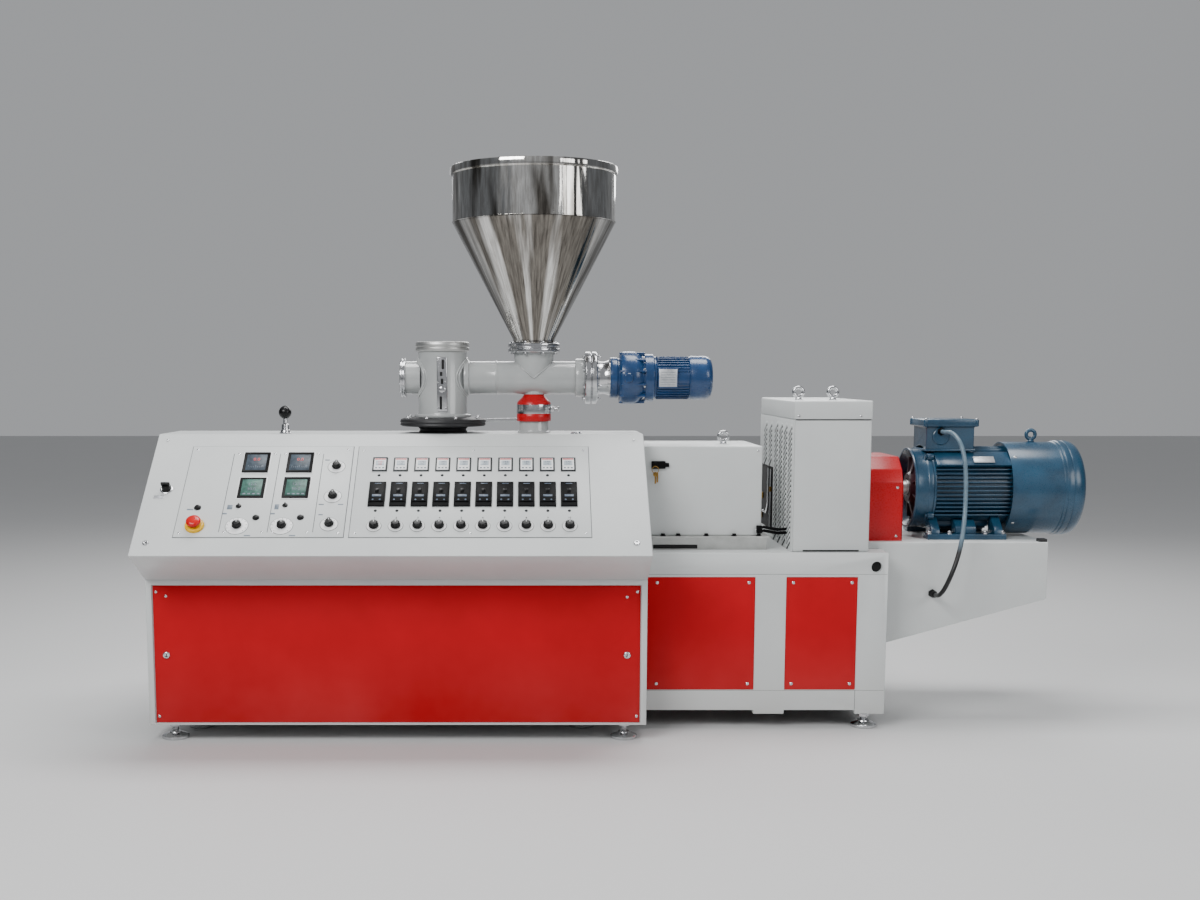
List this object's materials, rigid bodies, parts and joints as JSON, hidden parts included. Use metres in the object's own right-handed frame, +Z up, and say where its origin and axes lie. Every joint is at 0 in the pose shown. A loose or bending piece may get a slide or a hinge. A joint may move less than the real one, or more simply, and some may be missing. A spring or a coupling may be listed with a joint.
{
  "type": "twin-screw plastic extruder",
  "caption": "Plastic extruder with a sloping control console, stainless hopper, auger feeder, louvred drive cover and a bracket-mounted motor.",
  "frame": {"origin": "on the floor, under the middle of the machine's length and depth", "axes": "+X along the machine from the die end to the motor, +Y from the operator to the rear, +Z up"},
  "size_m": [4.23, 1.4758, 2.474],
  "materials": {
    "grey_paint": "light grey semi-gloss powder coat",
    "red_paint": "signal red semi-gloss powder coat",
    "machined_steel": "turned and ground steel",
    "bright_steel": "bright zinc and chrome plate",
    "hopper_steel": "polished rolled stainless sheet",
    "motor_paint": "dark steel-blue enamel on cast iron",
    "feeder_paint": "blue enamel on cast aluminium",
    "black_rubber": "black moulded rubber",
    "display_glass": "black bezel with a glossy window",
    "instrument_plastic": "moulded instrument cases with white faces",
    "black_plastic": "black moulded plastic",
    "knob_plastic": "black ribbed knob",
    "conduit_plastic": "grey-blue corrugated conduit",
    "stop_red": "red moulded mushroom",
    "stop_yellow": "yellow moulded collar"
  },
  "bodies": {
    "machine": {"barrel": "machined_steel", "barrel_rear_cover": "grey_paint", "base_deck": "grey_paint", "base_end_plates": "grey_paint", "base_front_panels": "red_paint", "base_rear_panels": "red_paint", "base_side_frames": "grey_paint", "clamp_band": "bright_steel", "conduit_glands": "black_plastic", "console_cabinet": "grey_paint", "console_desk": "grey_paint", "console_door_panel": "red_paint", "control_plates": "grey_paint", "coupling_guard": "red_paint", "display_units": "display_glass", "drive_cover": "grey_paint", "drive_cover_lid": "grey_paint", "drive_cover_louvres": "grey_paint", "emergency_stop_collar": "stop_yellow", "feed_column": "grey_paint", "feed_column_seal": "black_rubber", "feeder_flanges": "machined_steel", "feeder_gearbox": "feeder_paint", "feeder_motor": "feeder_paint", "feeder_support_post": "grey_paint", "feeder_tube": "grey_paint", "gearbox_bed": "machined_steel", "gearbox_cover": "grey_paint", "gearbox_cover_latch": "black_plastic", "hopper": "hopper_steel", "hopper_flange": "machined_steel", "levelling_feet": "bright_steel", "lifting_eyes": "bright_steel", "main_switch": "black_plastic", "motor_bracket": "grey_paint", "motor_conduit": "conduit_plastic", "motor_end_bell": "motor_paint", "motor_fan_cowl": "motor_paint", "motor_frame": "motor_paint", "post_clamp": "red_paint", "temperature_controllers": "instrument_plastic", "terminal_box": "motor_paint", "vent_pull_knob": "bright_steel", "zone_breakers": "black_plastic"},
    "zone_knob_1": {"zone_knob_1": "knob_plastic"},
    "zone_knob_2": {"zone_knob_2": "knob_plastic"},
    "zone_knob_3": {"zone_knob_3": "knob_plastic"},
    "zone_knob_4": {"zone_knob_4": "knob_plastic"},
    "zone_knob_5": {"zone_knob_5": "knob_plastic"},
    "zone_knob_6": {"zone_knob_6": "knob_plastic"},
    "zone_knob_7": {"zone_knob_7": "knob_plastic"},
    "zone_knob_8": {"zone_knob_8": "knob_plastic"},
    "zone_knob_9": {"zone_knob_9": "knob_plastic"},
    "zone_knob_10": {"zone_knob_10": "knob_plastic"},
    "screw_speed_knob": {"screw_speed_knob": "knob_plastic"},
    "feeder_speed_knob": {"feeder_speed_knob": "knob_plastic"},
    "mode_knob_low": {"mode_knob_low": "knob_plastic"},
    "mode_knob_middle": {"mode_knob_middle": "knob_plastic"},
    "mode_knob_high": {"mode_knob_high": "knob_plastic"},
    "emergency_stop_button": {"emergency_stop_button": "stop_red"}
  },
  "joints": [
    {"name": "zone_turn_1", "type": "hinge", "parent": "machine", "child": "zone_knob_1", "pos_m": [-1.068, -0.59976, 0.945], "axis": [0, -0.6428, 0.766], "range_deg": [-90, 0]},
    {"name": "zone_turn_2", "type": "hinge", "parent": "machine", "child": "zone_knob_2", "pos_m": [-0.978, -0.59976, 0.945], "axis": [0, -0.6428, 0.766], "range_deg": [-90, 0]},
    {"name": "zone_turn_3", "type": "hinge", "parent": "machine", "child": "zone_knob_3", "pos_m": [-0.888, -0.59976, 0.945], "axis": [0, -0.6428, 0.766], "range_deg": [-90, 0]},
    {"name": "zone_turn_4", "type": "hinge", "parent": "machine", "child": "zone_knob_4", "pos_m": [-0.798, -0.59976, 0.945], "axis": [0, -0.6428, 0.766], "range_deg": [-90, 0]},
    {"name": "zone_turn_5", "type": "hinge", "parent": "machine", "child": "zone_knob_5", "pos_m": [-0.708, -0.59976, 0.945], "axis": [0, -0.6428, 0.766], "range_deg": [-90, 0]},
    {"name": "zone_turn_6", "type": "hinge", "parent": "machine", "child": "zone_knob_6", "pos_m": [-0.618, -0.59976, 0.945], "axis": [0, -0.6428, 0.766], "range_deg": [-90, 0]},
    {"name": "zone_turn_7", "type": "hinge", "parent": "machine", "child": "zone_knob_7", "pos_m": [-0.528, -0.59976, 0.945], "axis": [0, -0.6428, 0.766], "range_deg": [-90, 0]},
    {"name": "zone_turn_8", "type": "hinge", "parent": "machine", "child": "zone_knob_8", "pos_m": [-0.438, -0.59976, 0.945], "axis": [0, -0.6428, 0.766], "range_deg": [-90, 0]},
    {"name": "zone_turn_9", "type": "hinge", "parent": "machine", "child": "zone_knob_9", "pos_m": [-0.348, -0.59976, 0.945], "axis": [0, -0.6428, 0.766], "range_deg": [-90, 0]},
    {"name": "zone_turn_10", "type": "hinge", "parent": "machine", "child": "zone_knob_10", "pos_m": [-0.258, -0.59976, 0.945], "axis": [0, -0.6428, 0.766], "range_deg": [-90, 0]},
    {"name": "screw_speed_turn", "type": "hinge", "parent": "machine", "child": "screw_speed_knob", "pos_m": [-1.634, -0.59976, 0.945], "axis": [0, -0.6428, 0.766], "range_deg": [-270, 0]},
    {"name": "feeder_speed_turn", "type": "hinge", "parent": "machine", "child": "feeder_speed_knob", "pos_m": [-1.449, -0.59976, 0.945], "axis": [0, -0.6428, 0.766], "range_deg": [-270, 0]},
    {"name": "mode_turn_low", "type": "hinge", "parent": "machine", "child": "mode_knob_low", "pos_m": [-1.254, -0.5921, 0.95143], "axis": [0, -0.6428, 0.766], "range_deg": [-45, 45]},
    {"name": "mode_turn_middle", "type": "hinge", "parent": "machine", "child": "mode_knob_middle", "pos_m": [-1.254, -0.46647, 1.05685], "axis": [0, -0.6428, 0.766], "range_deg": [-45, 45]},
    {"name": "mode_turn_high", "type": "hinge", "parent": "machine", "child": "mode_knob_high", "pos_m": [-1.254, -0.32859, 1.17255], "axis": [0, -0.6428, 0.766], "range_deg": [-45, 45]},
    {"name": "emergency_stop_press", "type": "slide", "parent": "machine", "child": "emergency_stop_button", "axis": [0, 0.6428, -0.766], "range_m": [0, 0.006]}
  ]
}
